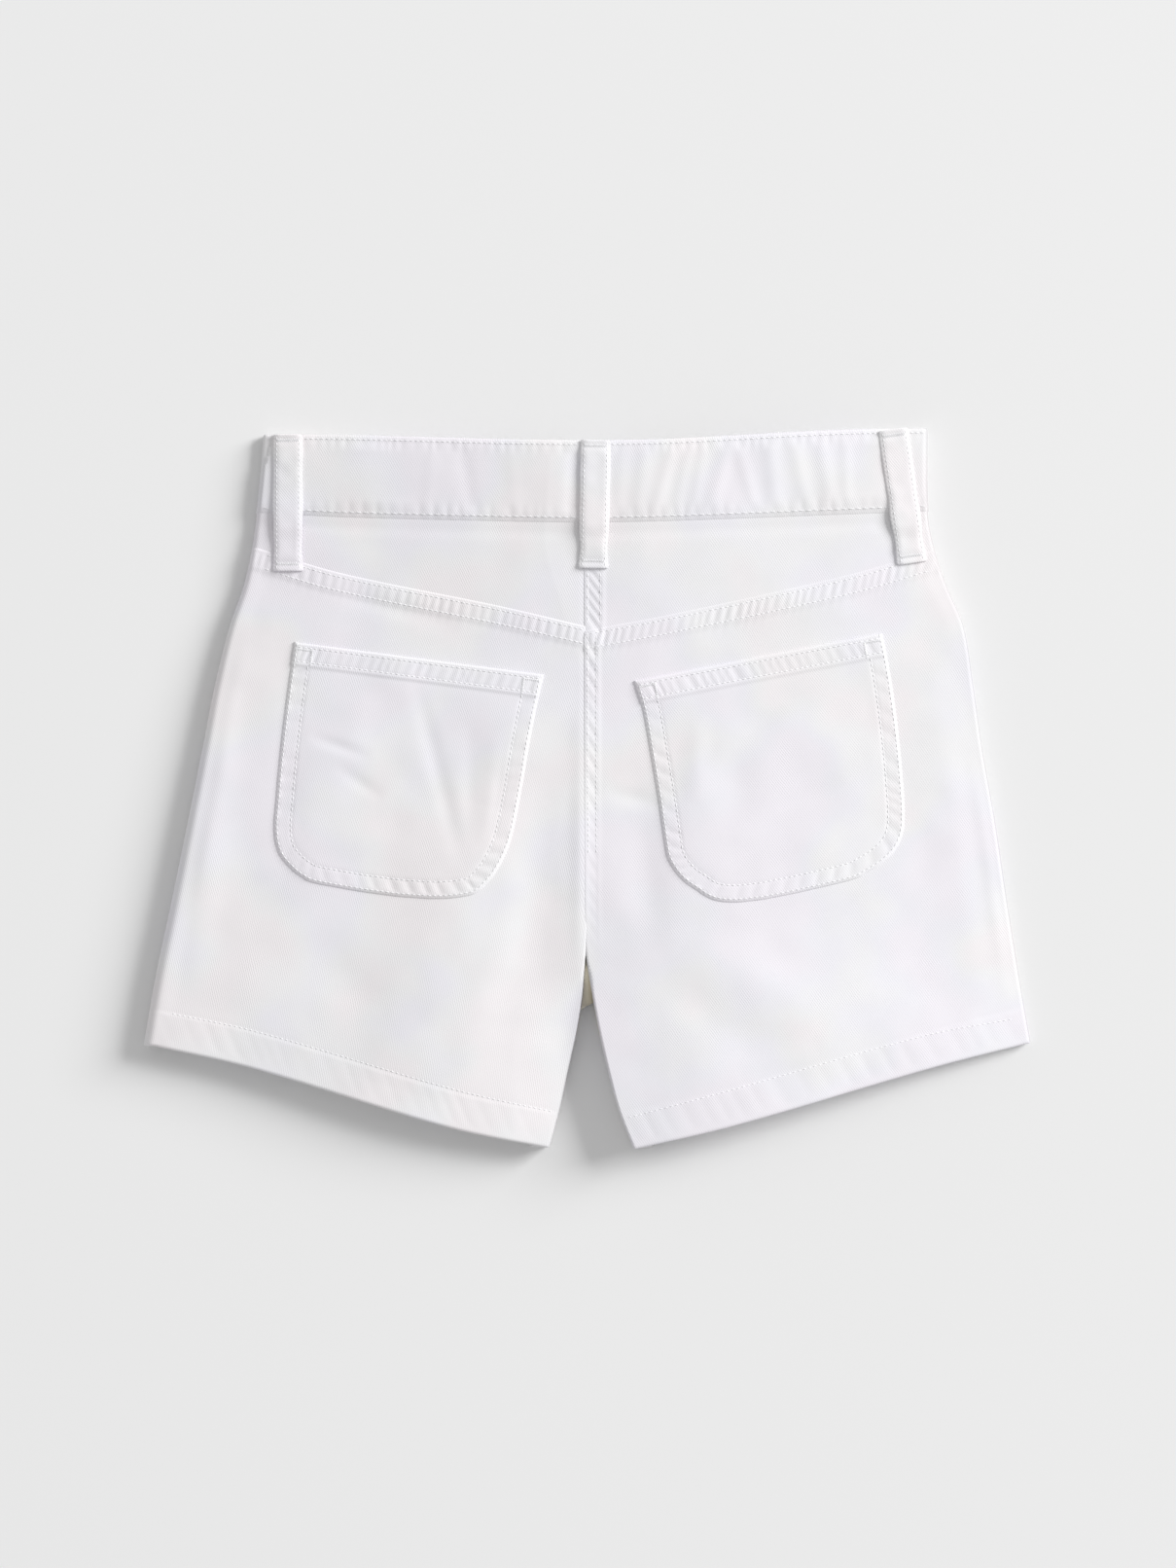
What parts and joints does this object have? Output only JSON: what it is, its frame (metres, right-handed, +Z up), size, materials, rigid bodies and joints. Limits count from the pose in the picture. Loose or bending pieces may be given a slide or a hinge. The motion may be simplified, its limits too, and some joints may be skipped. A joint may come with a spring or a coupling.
{
  "type": "denim shorts",
  "caption": "Short white denim shorts lying flat with the back up: waistband with belt loops, pointed yoke, rounded patch pockets, two flat legs with turned hems.",
  "frame": {"origin": "on the floor under the middle of the garment, as it lies flat with its front down", "axes": "+Y from the hems to the waist, +X to the wearer's right, +Z up out of the back of the garment"},
  "size_m": [0.4059, 0.3298, 0.0171],
  "materials": {
    "denim": "matte white cotton twill",
    "zip_tape": "matte woven tape",
    "button_metal": "satin"
  },
  "bodies": {
    "root": {"waistband": "denim", "back_yoke_left": "denim", "back_yoke_right": "denim", "back_panel_left": "denim", "back_panel_right": "denim", "back_pocket_left": "denim", "back_pocket_right": "denim", "front_panel_left": "denim", "front_panel_right": "denim", "belt_loop_back_left": "denim", "belt_loop_back_centre": "denim", "belt_loop_back_right": "denim", "belt_loop_front_left": "denim", "belt_loop_front_right": "denim", "fly_zip": "zip_tape", "front_button": "button_metal"}
  },
  "joints": []
}
